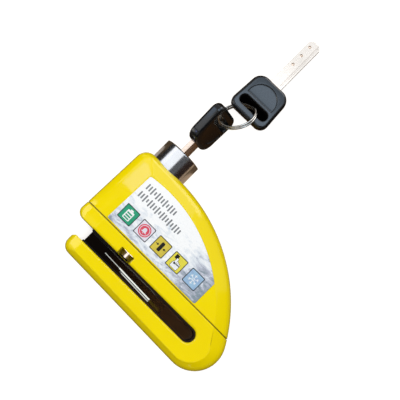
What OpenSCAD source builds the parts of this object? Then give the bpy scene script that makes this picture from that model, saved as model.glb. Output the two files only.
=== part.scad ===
// Motorcycle brake disc lock with a push-in barrel, a siren and two keys.
// Lies on its back: X runs along the disc slot to its closed end, Y along the
// pin and the barrel, Z up out of the front face. The origin is where the axis
// of the locking pin crosses the middle of the slot, half way through the body.

/* [Body] */
// Thickness of the body from rear face to front face
body_t = 35; // [34:0.5:38]
// Width of the slot that takes the brake disc
slot_h = 9.2; // [8.8:0.1:9.6]
// Distance from the pin axis to the closed end of the slot
slot_end = 59.9; // [58:0.1:61]
// Height of the jaw below the slot
jaw_h = 12.2; // [11.8:0.1:12.8]
// Distance from the pin axis to the tip of the jaw
jaw_reach = 29.4; // [28:0.2:31]
// Height of the body bar between the slot and the seam
bar_h = 8.7; // [8.6:0.1:9.2]
// Distance from the pin axis to the tail end of the body
tail_reach = 36.5; // [36.2:0.1:37.4]
// Height of the top edge above the middle of the slot
fin_top = 57.8; // [57.5:0.1:58.8]
// Radius of the long curved back
fin_r = 95.5; // [94.5:0.5:98]
// Radius of the nose round the closed end
nose_r = 17.6; // [17.2:0.1:18]
// Width of the bevel that frames the front face
bevel_w = 5.5; // [4.5:0.1:6]

/* [Lock] */
// Diameter of the locking pin
pin_d = 7; // [6:0.1:7.2]
// Diameter of the lock barrel
barrel_d = 23.2; // [22.6:0.1:23.4]
// Distance from the pin axis to the barrel axis
barrel_off = 17.2; // [17:0.1:17.4]
// Travel of the barrel from unlocked to locked
stroke = 11.6; // [11:0.1:11.8]
// Diameter of the key plug
plug_d = 13; // [12.6:0.1:13.4]
// Sideways travel of the latch for a quarter turn of the key
latch_throw = 2; // [1.6:0.1:2.2]
// Diameter of the wire of the return spring
spring_wire = 1.4; // [1:0.1:1.5]

/* [Alarm] */
// Wall of the siren case
case_wall = 1.4; // [1.2:0.1:1.6]
// Diameter of one button cell
cell_d = 11.6; // [11.4:0.1:11.6]
// Height of one button cell
cell_h = 5.4; // [5.2:0.1:5.4]
// Diameter of the siren
siren_d = 22; // [18:0.5:22]

/* [Keys] */
// Width of the key bow
bow_w = 26; // [25.5:0.1:26.5]
// Length of the key bow
bow_l = 26; // [25.6:0.1:26.4]
// Thickness of the key bow
bow_t = 6.4; // [6:0.1:6.6]
// Width of the key blade
blade_w = 7.8; // [7.2:0.1:8]
// Thickness of the key blade
blade_t = 2.6; // [2.2:0.1:2.7]
// Diameter of the wire of the key ring
ring_wire = 1.1; // [1:0.02:1.14]
// Middle radius of the key ring
ring_r = 10.7; // [10.6:0.05:10.8]

/* [Hidden] */
$fn = 64;

// Clearances
run_fit = 0.08;
seat_fit = 0.05;
free_fit = 0.4;
over = 1;

// Heights of the slot walls, the seam and the faces
half_t = body_t / 2;
slot_y = slot_h / 2;
jaw_y = -slot_y - jaw_h;
seam_y = slot_y + bar_h;
gasket_t = 0.5;
cover_y = seam_y + gasket_t;
slot_c = slot_end - slot_y;

// Circles of the back and of the nose, which meet on one tangent
fin_c = [-7.2, fin_top - fin_r];
nose_a = asin((jaw_y + nose_r - fin_c.y) / (fin_r - nose_r));
nose_c = fin_c + (fin_r - nose_r) * [cos(nose_a), sin(nose_a)];
tail_lean = 2;
belly_lean = 1.3;
tail_corner = 7;
bar_corner = 4;
jaw_corner = 5.5;
bar_cut = -10;

// Edge of the castings: a round that runs into a flat bevel.
// Widths are in the order back, belly, tail and jaw tip.
round_w = [3.3, 1.9, 8, 2.9];
bevels = [bevel_w, 1.4, bevel_w, 4.3];
round_d = 7;
bevel_d = 2.5;
round_a = 70;
round_steps = 4;
slot_chamfer = 0.9;
seam_groove = 0.8;

// Walls and chambers of the cover
wall = 4;
bay_x = [10.5, 46.7];
bay_half = 13.8;
core_x = [57.5, back_x(cover_y, 0) - 6.3];
core_half = 11;
chamber_r = barrel_d / 2 + free_fit;
arm_half = 7;
arm_end = bay_x[0] - 1.7;

// Barrel, plug, cam and latch along the barrel axis, from the key inwards
barrel_x = -barrel_off;
barrel_r = barrel_d / 2;
barrel_proud = 1.7;
barrel_end = fin_top + stroke + barrel_proud;
barrel_crown = 1.3;
bow_y = barrel_end + 8;
blade_l = 34;
plug_r = plug_d / 2;
plug_tail = bow_y - blade_l - 1.6;
cam_r = 7.3;
cam_t = 2.3;
cam_y = [plug_tail - 0.2 - cam_t, plug_tail - 0.2];
cam_hole = 2.6;
latch_t = 2.3;
latch_y = [cam_y[0] - 0.3 - latch_t, cam_y[0] - 0.3];
latch_half = 3;
barrel_in = latch_y[0] - 0.1;
keeper_x = [barrel_x - chamber_r - 4.3, barrel_x - chamber_r - 0.3];
keeper_y = [latch_y[0] - stroke - 4.5, latch_y[1] - stroke + 4.2];
keeper_half = 5;
seal_y = [fin_top - 6.2, fin_top - 4.2];
seal_w = 1.65;
follower_r = 0.9;
follower_at = 3.5;
follower_play = 0.25;
carrier_y = [barrel_in - 7, barrel_in];
carrier_boss_r = 6;
carrier_screw_r = 1;
carrier_head_r = 1.9;
carrier_screw_l = 10;
carrier_screw_ring = barrel_r - carrier_head_r - 0.1;
carrier_screw_at = [for (a = [-70, 70]) [barrel_x, 0] + carrier_screw_ring * [cos(a), sin(a)]];
carrier_seat = carrier_y[0] + carrier_head_r + 0.2;
chamber_top = carrier_y[1] + 0.6;
wafer_n = 6;
wafer_t = 1;
wafer_first = plug_tail + 5.3;
wafer_pitch = 3.5;
wafer_size = [11.4, 5.2];

// Locking pin and its bushes
pin_r = pin_d / 2;
pin_tip = slot_y + 0.3;
pin_stud_r = 2.5;
pin_shoulder = carrier_y[0] + 2;
bush_r = 5.5;
bush_y = [9, seam_y];
jaw_bush_d = 5.4;
notch_half = 4.7;
notch_y = slot_y + 4.2;

// Return spring on the barrel axis
spring_r = barrel_r - 5;
spring_y = [8.2, carrier_y[0] + 2.5];
spring_turns = 7;

// Slot liner and its wear strip
liner_t = 1;
liner_x = -23.1;
liner_half = half_t - 1.5;
strip_x = [-10.3, 28];
strip_z = -7;
strip_w = 2.4;
strip_rise = 0.5;

// Cover screws along Y, as [x, z]
screw_at = [[-28.7, 10], [-28.7, -10], [52, 9], [52, -9]];
screw_r = 2;
screw_head_r = 3.5;
screw_head_h = 4;
screw_seat = slot_y + 4.3;
screw_l = 13;

// Ramp of the pin carrier and the switch that it presses
plunger_y = carrier_y[0] - 2.5;
plunger_r = 1.5;
plunger_travel = 1.2;
ramp_x = 6.6;
ramp_half = 2.5;
ramp_rise = plunger_travel / stroke;
ramp_y = [plunger_y - 0.9, plunger_y + stroke + 0.5];
plunger_tip = ramp_x + 0.1;
plunger_l = 8;
switch_x = [12.8, 19.8];
switch_half = [4.5, 2.9];

// Siren case and what it holds
case_half = bay_half - free_fit;
case_top = case_half - case_wall;
contact_t = 0.4;
contact_over = [4.5, 2.5];
cell_gap = 0.1;
cell_n = 3;
cell_at = [for (i = [0, 1]) [bay_x[0] + 16.1 + i * (cell_d + 0.6), cover_y + cell_d / 2 + 2]];
cell_z = case_top - contact_t - cell_n * cell_h - (cell_n + 1) * cell_gap;
board_t = 1.2;
board_top = cell_z - contact_t - 2 * cell_gap;
siren_c = [27.5, 31];
siren_z = [cell_gap - case_top, board_top - board_t - 2 * cell_gap];
siren_wall = 1.5;
disc_t = 0.5;
disc_at = siren_z[0] + 2;
sound_r = 1.1;
sound_ring = 5;
chip_at = [31, 32];
chip_size = [7, 6, 1.6];
coil_at = [21, 40];
coil_size = [4, 4, 3];
can_at = [18, 43];
can_size = [2, 7];
lamp_at = [30, 30];
lamp_size = [1.4, 4];
sensor_size = [2.6, 11];
sensor_at = [16.5, plunger_y + switch_half[0] + sensor_size[0] + 1.1];

// Key, lying along Y with its bow on the +Y side of the blade's root
tang_l = 11;
tang_w = 6;
bow_round = 1.4;
bow_corner_r = 6.6;
bow_end_r = 5;
bow_taper = 0.9;
thumb_d = 0.5;
loop_y = 18.5;
loop_r = 2.9;
loop_half = 9.8;
key_turn = 25;
spare_at = [barrel_x + 9.17, bow_y + 56.28, -11.24];
spare_yaw = 0.4;
spare_pitch = -7.8;
spare_roll = -4;

// Key ring: two turns of wire about a tilted axis
ring_c = [barrel_x + 6.06, bow_y + 28.34, -6.1];
ring_az = 27.5;
ring_tilt = 49.6;
ring_dip = -2;
ring_gap = 0.44;
ring_pitch = ring_wire + ring_gap;
ring_turns = 2;
ring_steps = 24;
ring_e1 = cos(ring_dip) * [sin(ring_az), cos(ring_az), 0] + [0, 0, sin(ring_dip)];
ring_side = [cos(ring_az), -sin(ring_az), 0];
ring_e2 = cos(ring_tilt) * ring_side + sin(ring_tilt) * cross(ring_side, ring_e1);
ring_e3 = cross(ring_e1, ring_e2);

// Front label
label_end = 46;
label_low = 14.6;
label_in = round_w[0] + bevels[0] + 0.3;
label_tail = round_w[2] + bevels[2] + 0.3;
label_t = 0.4;
label_sink = 0.25;

// Least gap between neighbouring turns of a wound wire
function least_gap(path, wire) =
    min([for (i = [0:len(path) - 1]) for (j = [0:len(path) - 1])
        if (abs(i - j) > ring_steps / 2) norm(path[i] - path[j]) - wire]);

// Points of an elliptical arc
function arc(c, rx, ry, a0, a1, n) =
    [for (i = [0:n]) let (a = a0 + (a1 - a0) * i / n) [c.x + rx * cos(a), c.y + ry * sin(a)]];

// Steps of a casting's edge as [depth below the face, share of the round, share of the bevel]
edge_steps = concat(
    [for (i = [0:round_steps]) let (a = round_a * i / round_steps)
        [bevel_d + round_d * (1 - sin(a) / sin(round_a)), (1 - cos(a)) / (1 - cos(round_a)), 0]],
    [[0, 1, 1]]
);

// Levels of a casting from rear to front as [z, four insets]
levels = concat(
    [for (i = [len(edge_steps) - 1:-1:0]) [edge_steps[i][0] - half_t, insets(edge_steps[i])]],
    [for (s = edge_steps) [half_t - s[0], insets(s)]]
);
function insets(step) = [for (k = [0:3]) step[1] * round_w[k] + step[2] * bevels[k]];

// X of the leaning tail end at a height
function tail_x(y) = -tail_reach + (y - slot_y) * tan(tail_lean);

// Y of the leaning belly at a length
function belly_y(x) = jaw_y + (nose_c.x - x) * tan(belly_lean);

// Angle on the back at which it crosses a height
function back_a(y, inset) = asin((y - fin_c.y) / (fin_r - inset));
function back_x(y, inset) = fin_c.x + (fin_r - inset) * cos(back_a(y, inset));

// Outline of the cover, seam end of the back first, anticlockwise
function cover_outline(in) =
    let (back = in[0], tail = in[2])
    let (rx = max(tail_corner - tail, 0.6), ry = max(tail_corner - back, 0.6))
    let (cy = fin_top - back - ry)
    concat(
        arc(fin_c, fin_r - back, fin_r - back, back_a(cover_y, back), 90, 28),
        arc([tail_x(cy) + tail + rx, cy], rx, ry, 90, 180 - tail_lean, 8),
        [[tail_x(cover_y) + tail, cover_y]]
    );

// Outline of the tail end of the body bar, which stops inside the jaw casting
function bar_outline(in) =
    let (tail = in[2])
    let (rx = max(bar_corner - tail, 0.6))
    concat(
        [[bar_cut, seam_y], [tail_x(seam_y) + tail, seam_y]],
        arc([tail_x(slot_y) + tail + rx, slot_y + bar_corner], rx, bar_corner, 180, 270, 6),
        [[bar_cut, slot_y]]
    );

// Outline of the jaw and the nose up to the seam
function jaw_outline(in) =
    let (back = in[0], belly = in[1], tip = in[3])
    let (rx = max(jaw_corner - tip, 0.6), ry = max(jaw_corner - belly, 0.6))
    let (x = -jaw_reach + tip + rx)
    concat(
        [[-jaw_reach + tip, seam_y]],
        arc([x, belly_y(x) + belly + ry], rx, ry, 180, 270 - belly_lean, 6),
        [for (i = [0:18]) let (a = -90 - belly_lean + (nose_a + 90 + belly_lean) * i / 18)
            nose_c + (nose_r - belly - (back - belly) * i / 18) * [cos(a), sin(a)]],
        [[back_x(seam_y, back), seam_y]]
    );

// Solid through outlines of equal length, each at its own height
module loft(outlines, heights) {
    n = len(outlines[0]);
    m = len(outlines);
    polyhedron(
        points = [for (j = [0:m - 1]) for (p = outlines[j]) [p.x, p.y, heights[j]]],
        faces = concat(
            [[for (i = [0:n - 1]) i]],
            [[for (i = [n - 1:-1:0]) (m - 1) * n + i]],
            [for (j = [0:m - 2]) for (i = [0:n - 1])
                [j * n + i, (j + 1) * n + i, (j + 1) * n + (i + 1) % n]],
            [for (j = [0:m - 2]) for (i = [0:n - 1])
                [j * n + i, (j + 1) * n + (i + 1) % n, j * n + (i + 1) % n]]
        )
    );
}

// Tube along points, with the given side count; u and v span each section
module tube(points, us, vs, r, sides) {
    m = len(points);
    polyhedron(
        points = [for (j = [0:m - 1]) for (i = [0:sides - 1])
            points[j] + r * (cos(360 * i / sides) * us[j] + sin(360 * i / sides) * vs[j])],
        faces = concat(
            [[for (i = [sides - 1:-1:0]) i]],
            [[for (i = [0:sides - 1]) (m - 1) * sides + i]],
            [for (j = [0:m - 2]) for (i = [0:sides - 1])
                [j * sides + i, (j + 1) * sides + (i + 1) % sides, (j + 1) * sides + i]],
            [for (j = [0:m - 2]) for (i = [0:sides - 1])
                [j * sides + i, j * sides + (i + 1) % sides, (j + 1) * sides + (i + 1) % sides]]
        )
    );
}

// Round bar along Y
module rod_y(x, z, y0, y1, r) {
    translate([x, y0, z])
        rotate([-90, 0, 0])
            cylinder(h = y1 - y0, r = r);
}

// Round bar along X
module rod_x(y, z, x0, x1, r) {
    translate([x0, y, z])
        rotate([0, 90, 0])
            cylinder(h = x1 - x0, r = r);
}

// Block between two corners
module block(a, b) {
    translate(a)
        cube(b - a);
}

// Slab between two heights with a drawn outline
module slab(z0, z1) {
    translate([0, 0, z0])
        linear_extrude(z1 - z0)
            children();
}

// Slot outline, wider or narrower by grow, from x0 to the closed end
module slot_shape(grow, x0) {
    translate([x0, -slot_y - grow])
        square([slot_c - x0, slot_h + 2 * grow]);
    translate([slot_c, 0])
        circle(r = slot_y + grow);
}

// Flared edge of the slot on one face
module slot_flare() {
    hull()
        for (x = [slot_c, -2 * tail_reach])
            translate([x, 0, half_t - slot_chamfer])
                cylinder(h = slot_chamfer + over, r1 = slot_y, r2 = slot_y + slot_chamfer + over, $fn = 32);
}

// Fine groove where the two castings meet, on both faces
module seam_line() {
    for (z = [-half_t, half_t])
        translate([0, seam_y + gasket_t / 2, z])
            rotate([45, 0, 0])
                cube([4 * tail_reach, seam_groove, seam_groove], center = true);
}

// Outline inside the back curve between two X values
module under_back(inset, x0, x1, y0) {
    intersection() {
        translate(fin_c)
            circle(r = fin_r - inset, $fn = 128);
        translate([x0, y0])
            square([x1 - x0, fin_top]);
    }
}

module lock_body() {
    color("gold")
        difference() {
            union() {
                difference() {
                    loft([for (l = levels) jaw_outline(l[1])], [for (l = levels) l[0]]);
                    slab(-half_t - over, half_t + over)
                        slot_shape(0, -2 * tail_reach);
                    block([-2 * tail_reach, 0, -body_t], [bar_cut, 2 * seam_y, body_t]);
                }
                loft([for (l = levels) bar_outline(l[1])], [for (l = levels) l[0]]);
            }
            slot_flare();
            mirror([0, 0, 1])
                slot_flare();
            translate([-jaw_reach, -slot_y, 0])
                rotate([0, 0, 45])
                    cube([2.4, 2.4, 2 * body_t], center = true);
            seam_line();
            // window in the front wall that shows the pin
            block([-notch_half, 0, 0], [notch_half, notch_y, half_t + over]);
            rod_y(0, 0, 0, bush_y[0] + over, pin_r + free_fit);
            rod_y(0, 0, bush_y[0], seam_y + over, bush_r + seat_fit);
            rod_y(0, 0, -slot_y - jaw_bush_d - seat_fit, 0, bush_r + seat_fit);
            rod_y(barrel_x, 0, spring_y[0] - seat_fit, seam_y + over, spring_r + spring_wire / 2 + free_fit);
            for (p = screw_at) {
                rod_y(p.x, p.y, 0, seam_y + over, screw_r + free_fit / 2);
                rod_y(p.x, p.y, 0, screw_seat, screw_head_r + free_fit / 2);
            }
        }
}

module top_cover() {
    color("gold")
        difference() {
            loft([for (l = levels) cover_outline(l[1])], [for (l = levels) l[0]]);
            seam_line();
            // sliding bore of the barrel and the chamber under it
            rod_y(barrel_x, 0, 0, fin_top + over, barrel_r + run_fit);
            rod_y(barrel_x, 0, 0, chamber_top + 0.6, chamber_r);
            block([barrel_x, 0, -arm_half - free_fit], [arm_end, chamber_top, arm_half + free_fit]);
            block([ramp_x - 3, 0, -ramp_half - free_fit], [arm_end, ramp_y[1] + over, ramp_half + free_fit]);
            rod_y(barrel_x, 0, seal_y[0] - seat_fit, seal_y[1] + seat_fit, barrel_r + seal_w + seat_fit);
            // notches that the latch enters when unlocked and when locked
            block([barrel_x - barrel_r - latch_throw - 0.6, latch_y[0] - 0.3, -latch_half - free_fit],
                [barrel_x - 8, latch_y[1] + 0.3, latch_half + free_fit]);
            block([keeper_x[0] - seat_fit, keeper_y[0] - seat_fit, -keeper_half - seat_fit],
                [barrel_x - chamber_r + 2, keeper_y[1] + seat_fit, keeper_half + seat_fit]);
            slab(-bay_half, bay_half)
                under_back(wall, bay_x[0], bay_x[1], 0);
            slab(-core_half, core_half)
                under_back(wall + 0.5, core_x[0], core_x[1], 0);
            rod_x(plunger_y, 0, 0, bay_x[0] + over, plunger_r + free_fit);
            for (p = screw_at)
                rod_y(p.x, p.y, 0, screw_seat + screw_l + over, screw_r + run_fit);
            sound_holes(-half_t - over, -bay_half + over);
            slab(half_t - label_sink, half_t + over)
                label_shape(seat_fit);
        }
}

// Seven holes in front of the siren
module sound_holes(z0, z1) {
    slab(z0, z1) {
        translate(siren_c)
            circle(r = sound_r);
        for (a = [0:60:300])
            translate(siren_c + sound_ring * [cos(a), sin(a)])
                circle(r = sound_r);
    }
}

module cover_gasket() {
    in = 0.9;
    rim = [for (l = levels) [back_x(seam_y, l[1][0]) - in, l[0] * (1 - in / half_t)]];
    end = [for (i = [len(levels) - 1:-1:0])
        [tail_x(seam_y) + levels[i][1][2] + in, levels[i][0] * (1 - in / half_t)]];
    color("black")
        difference() {
            translate([0, cover_y, 0])
                rotate([90, 0, 0])
                    linear_extrude(gasket_t)
                        polygon(concat(rim, end));
            rod_y(barrel_x, 0, 0, fin_top, chamber_r);
            block([barrel_x, 0, -arm_half - free_fit], [arm_end, fin_top, arm_half + free_fit]);
            block([bay_x[0], 0, -bay_half], [bay_x[1], fin_top, bay_half]);
            block([core_x[0], 0, -core_half], [core_x[1], fin_top, core_half]);
            for (p = screw_at)
                rod_y(p.x, p.y, 0, fin_top, screw_r + free_fit / 2);
        }
}

// Socket head screw along Y with its head down
module socket_screw(x, z, y, r, head_r, head_h, length) {
    difference() {
        union() {
            rod_y(x, z, y - head_h, y, head_r);
            rod_y(x, z, y - 0.01, y + length, r);
        }
        translate([x, y - head_h - over, z])
            rotate([-90, 0, 0])
                cylinder(h = head_h / 2 + over, r = r * 0.85, $fn = 6);
    }
}

module cover_screws() {
    color("dimgray")
        for (p = screw_at)
            socket_screw(p.x, p.y, screw_seat, screw_r, screw_head_r, screw_head_h, screw_l);
}

// Outline of the label, which follows the bevels of the back and of the tail
module label_shape(grow) {
    intersection() {
        translate(fin_c)
            circle(r = fin_r - label_in + grow, $fn = 128);
        polygon([
            [tail_x(label_low) + label_tail - grow, label_low - grow], [label_end + grow, label_low - grow],
            [label_end + grow, fin_top], [tail_x(fin_top) + label_tail - grow, fin_top]
        ]);
    }
}

module front_label() {
    color("lightsteelblue")
        slab(half_t - label_sink, half_t - label_sink + label_t)
            label_shape(0);
}

module slot_liner() {
    color([0.08, 0.08, 0.08])
        difference() {
            slab(-liner_half, liner_half)
                difference() {
                    slot_shape(-seat_fit, liner_x);
                    slot_shape(-seat_fit - liner_t, liner_x - over);
                }
            rod_y(0, 0, -slot_y - over, slot_y + over, pin_r + 0.7);
            block([-notch_half, 0, 0], [notch_half, slot_y + over, half_t]);
            for (p = screw_at)
                rod_y(p.x, p.y, 0, slot_y + over, screw_head_r + free_fit);
            block([strip_x[0] - seat_fit, 0, strip_z - strip_w / 2 - seat_fit],
                [strip_x[1] + seat_fit, slot_y, strip_z + strip_w / 2 + seat_fit]);
        }
}

module wear_strip() {
    color("silver")
        translate([strip_x[0], slot_y - seat_fit, strip_z])
            rotate([0, 90, 0])
                linear_extrude(strip_x[1] - strip_x[0]) {
                    translate([-strip_w / 2, -liner_t])
                        square([strip_w, liner_t]);
                    translate([-strip_w / 2 + 0.4, -liner_t - strip_rise])
                        square([strip_w - 0.8, strip_rise + 0.1]);
                }
}

module pin_bush() {
    color("gray")
        difference() {
            rod_y(0, 0, bush_y[0], bush_y[1], bush_r);
            rod_y(0, 0, 0, seam_y + over, pin_r + run_fit);
        }
}

module jaw_bush() {
    color("gray")
        difference() {
            rod_y(0, 0, -slot_y - jaw_bush_d, -slot_y, bush_r);
            rod_y(0, 0, -slot_y - jaw_bush_d + 1.2, 0, pin_r + free_fit);
        }
}

module barrel_seal() {
    color([0.1, 0.1, 0.1])
        difference() {
            rod_y(barrel_x, 0, seal_y[0], seal_y[1], barrel_r + seal_w);
            rod_y(barrel_x, 0, 0, fin_top, barrel_r + run_fit);
        }
}

module latch_keeper() {
    color("gray")
        difference() {
            block([keeper_x[0], keeper_y[0], -keeper_half], [keeper_x[1], keeper_y[1], keeper_half]);
            block(
                [barrel_x - barrel_r - latch_throw - 0.6, latch_y[0] - stroke - 0.3, -latch_half - free_fit],
                [0, latch_y[1] - stroke + 0.3, latch_half + free_fit]);
        }
}

// Helical compression spring along Y
module return_spring() {
    y0 = spring_y[0] + spring_wire / 2 + seat_fit;
    y1 = spring_y[1] - spring_wire / 2 - seat_fit;
    steps = spring_turns * ring_steps;
    outs = [for (i = [0:steps]) let (a = 360 * i / ring_steps) [cos(a), 0, sin(a)]];
    path = [for (i = [0:steps]) [barrel_x, y0 + (y1 - y0) * i / steps, 0] + spring_r * outs[i]];
    echo(return_spring_least_gap = least_gap(path, spring_wire));
    color("silver")
        tube(path, outs, [for (i = [0:steps]) [0, 1, 0]], spring_wire / 2, 6);
}

module lock_barrel() {
    color("silver")
        difference() {
            translate([barrel_x, 0, 0])
                rotate([-90, 0, 0])
                    rotate_extrude()
                        polygon(concat(
                            [[plug_r + run_fit, plug_tail], [plug_r + run_fit, barrel_end - 0.9],
                                [plug_r + 1, barrel_end - 0.9]],
                            arc([0, barrel_end - barrel_crown], barrel_r, barrel_crown, 46, 0, 4),
                            [[barrel_r, barrel_in], [cam_r + free_fit, barrel_in],
                                [cam_r + free_fit, plug_tail]]
                        ));
            block([barrel_x - barrel_r - over, 0, -latch_half - run_fit],
                [barrel_x, latch_y[1] + 0.15, latch_half + run_fit]);
            carrier_screw_holes(carrier_seat + carrier_screw_l + over, run_fit);
        }
}

// Holes for the two screws that hold the carrier to the barrel
module carrier_screw_holes(y1, grow) {
    for (p = carrier_screw_at)
        rod_y(p.x, p.y, 0, y1, carrier_screw_r + grow);
}

module pin_carrier() {
    color("darkgray")
        difference() {
            union() {
                rod_y(barrel_x, 0, carrier_y[0], carrier_y[1], barrel_r - 0.3);
                block([barrel_x, carrier_y[0], -carrier_boss_r], [0, carrier_y[1] - 0.2, carrier_boss_r]);
                rod_y(0, 0, carrier_y[0] - 2, carrier_y[1], carrier_boss_r);
                slab(-ramp_half, ramp_half)
                    polygon([
                        [2, ramp_y[0]], [ramp_x + (ramp_y[0] - plunger_y) * ramp_rise, ramp_y[0]],
                        [ramp_x + (ramp_y[1] - plunger_y) * ramp_rise, ramp_y[1]],
                        [ramp_x - 2.2, ramp_y[1]], [ramp_x - 2.2, carrier_y[1] - 1], [2, carrier_y[1] - 1]
                    ]);
            }
            rod_y(barrel_x, 0, 0, spring_y[1], spring_r + spring_wire / 2 + free_fit);
            rod_y(0, 0, 0, pin_shoulder, pin_r + seat_fit);
            rod_y(0, 0, 0, carrier_y[1] + over, pin_stud_r + seat_fit);
            carrier_screw_holes(carrier_y[1] + over, run_fit);
            for (p = carrier_screw_at)
                rod_y(p.x, p.y, 0, carrier_seat, carrier_head_r + 0.1);
        }
}

module carrier_screws() {
    color("dimgray")
        for (p = carrier_screw_at)
            socket_screw(p.x, p.y, carrier_seat - seat_fit,
                carrier_screw_r, carrier_head_r, carrier_head_r, carrier_screw_l);
}

module lock_pin() {
    color("silver")
        rotate([-90, 0, 0])
            rotate_extrude()
                polygon([
                    [0, pin_tip], [pin_r - 0.7, pin_tip], [pin_r, pin_tip + 0.7],
                    [pin_r, pin_shoulder - seat_fit], [pin_stud_r, pin_shoulder - seat_fit],
                    [pin_stud_r, carrier_y[1]], [0, carrier_y[1]]
                ]);
}

// Turns what follows the key from its own frame to its place in the barrel
module in_plug() {
    translate([barrel_x, 0, 0])
        rotate([0, -90 - key_turn, 0])
            children();
}

module key_plug() {
    color("darkgray")
        in_plug()
            difference() {
                union() {
                    rod_y(0, 0, plug_tail + 0.1, barrel_end - 0.6, plug_r);
                    block([-cam_hole / 2 + seat_fit, cam_y[0], -cam_hole / 2 + seat_fit],
                        [cam_hole / 2 - seat_fit, plug_tail + 0.2, cam_hole / 2 - seat_fit]);
                }
                block([-blade_w / 2 - 0.15, bow_y - blade_l - 0.3, -blade_t / 2 - 0.15],
                    [blade_w / 2 + 0.15, barrel_end + over, blade_t / 2 + 0.15]);
                for (i = [0:wafer_n - 1])
                    wafer_block(i, wafer_size[0] / 2 + seat_fit, wafer_size[1] / 2 + seat_fit, seat_fit);
            }
}

// Room of one wafer in the plug
module wafer_block(i, half_w, half_h, grow) {
    y = wafer_first + i * wafer_pitch;
    block([-half_w, y - grow, -half_h], [half_w, y + wafer_t + grow, half_h]);
}

module plug_wafers() {
    color("goldenrod")
        in_plug()
            for (i = [0:wafer_n - 1])
                difference() {
                    wafer_block(i, wafer_size[0] / 2, wafer_size[1] / 2, 0);
                    wafer_block(i, blade_w / 2 + 0.2, blade_t / 2 + 0.2, over);
                }
}

// Cam disc with a slot whose radius grows evenly with the turn
module plug_cam() {
    color("gray")
        difference() {
            rod_y(barrel_x, 0, cam_y[0], cam_y[1], cam_r);
            in_plug()
                block([-cam_hole / 2, 0, -cam_hole / 2], [cam_hole / 2, fin_top, cam_hole / 2]);
            translate([barrel_x, cam_y[1] + over, 0])
                rotate([90, 0, 0])
                    linear_extrude(cam_y[1] - cam_y[0] + 2 * over)
                        cam_slot(follower_r + follower_play);
        }
}

// Point of the spiral, off its middle line by w, where the follower stands after a turn
function cam_point(t, w) = (follower_at + latch_throw * t / 90 + w) * [cos(180 - t), sin(180 - t)];

// Spiral slot: the follower starts at 180 degrees and the slot turns past it
module cam_slot(w) {
    turn = [0:7.5:90];
    polygon(concat(
        [for (t = turn) cam_point(t, w)],
        [for (t = turn) cam_point(90 - t, -w)]
    ));
    for (t = [0, 90])
        translate(cam_point(t, 0))
            circle(r = w);
}

module latch_bolt() {
    color("silver") {
        block([barrel_x - barrel_r + 0.3, latch_y[0], -latch_half],
            [barrel_x - follower_at + 1.6, latch_y[1], latch_half]);
        rod_y(barrel_x - follower_at, 0, latch_y[1] - 0.01, cam_y[1] - 0.1, follower_r);
    }
}

module alarm_case() {
    color([0.12, 0.12, 0.12])
        difference() {
            slab(-case_half + case_wall, case_half)
                case_shape(free_fit);
            slab(-case_half, case_half - case_wall)
                case_shape(free_fit + case_wall);
            rod_x(plunger_y, 0, 0, switch_x[0], plunger_r + free_fit);
        }
}

// Outline of the siren case inside the bay
module case_shape(inset) {
    under_back(wall + inset, bay_x[0] + inset, bay_x[1] - inset, cover_y + inset);
}

module alarm_lid() {
    color([0.15, 0.15, 0.15])
        difference() {
            slab(-case_half, -case_half + case_wall - seat_fit)
                case_shape(free_fit);
            sound_holes(-half_t, 0);
        }
}

module circuit_board() {
    color("darkgreen")
        slab(board_top - board_t, board_top)
            case_shape(free_fit + case_wall + 0.3);
}

// Chip, capacitor, coil and lamp on the circuit board
module board_parts() {
    color("dimgray")
        translate([0, 0, board_top]) {
            translate(chip_at)
                cube(chip_size);
            translate(coil_at)
                cube(coil_size);
            translate(can_at)
                cylinder(h = can_size[1], r = can_size[0]);
            translate(lamp_at)
                cylinder(h = lamp_size[1], r = lamp_size[0]);
        }
}

module shock_sensor() {
    color("silver")
        translate([sensor_at.x, sensor_at.y, board_top])
            cylinder(h = sensor_size[1], r = sensor_size[0]);
}

module siren_housing() {
    color([0.1, 0.1, 0.1])
        translate([siren_c.x, siren_c.y, 0])
            difference() {
                slab(siren_z[0], siren_z[1])
                    circle(d = siren_d);
                slab(siren_z[0] - over, siren_z[1] - 1)
                    circle(d = siren_d - 2 * siren_wall);
                slab(disc_at, disc_at + disc_t)
                    circle(d = siren_d - siren_wall);
            }
}

module siren_disc() {
    color("goldenrod")
        translate([siren_c.x, siren_c.y, 0])
            slab(disc_at + seat_fit, disc_at + disc_t - seat_fit)
                circle(d = siren_d - siren_wall - 2 * seat_fit);
}

module button_cells() {
    color("silver")
        for (p = cell_at)
            for (i = [0:cell_n - 1])
                translate([p.x, p.y, cell_z + i * (cell_h + cell_gap)]) {
                    cylinder(h = cell_h - 0.4, d = cell_d);
                    cylinder(h = cell_h, d = cell_d - 3);
                }
}

module cell_contacts() {
    a = cell_at[0] - contact_over;
    b = cell_at[1] + contact_over;
    color("lightgray")
        for (z = [board_top + cell_gap, case_top - cell_gap - contact_t])
            block([a.x, a.y, z], [b.x, b.y, z + contact_t]);
}

module trip_switch() {
    color([0.2, 0.2, 0.2])
        difference() {
            block([switch_x[0], plunger_y - switch_half[0], board_top],
                [switch_x[1], plunger_y + switch_half[0], switch_half[1]]);
            rod_x(plunger_y, 0, 0, plunger_tip + plunger_l + plunger_travel + 0.4, plunger_r + run_fit);
        }
}

module switch_plunger() {
    color("orangered")
        translate([plunger_tip + plunger_r, plunger_y, 0])
            rotate([0, 90, 0])
                rotate_extrude()
                    intersection() {
                        union() {
                            circle(r = plunger_r);
                            translate([-plunger_r, 0])
                                square([2 * plunger_r, plunger_l - plunger_r]);
                        }
                        translate([0, -plunger_r])
                            square([plunger_r, plunger_l]);
                    }
}

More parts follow.
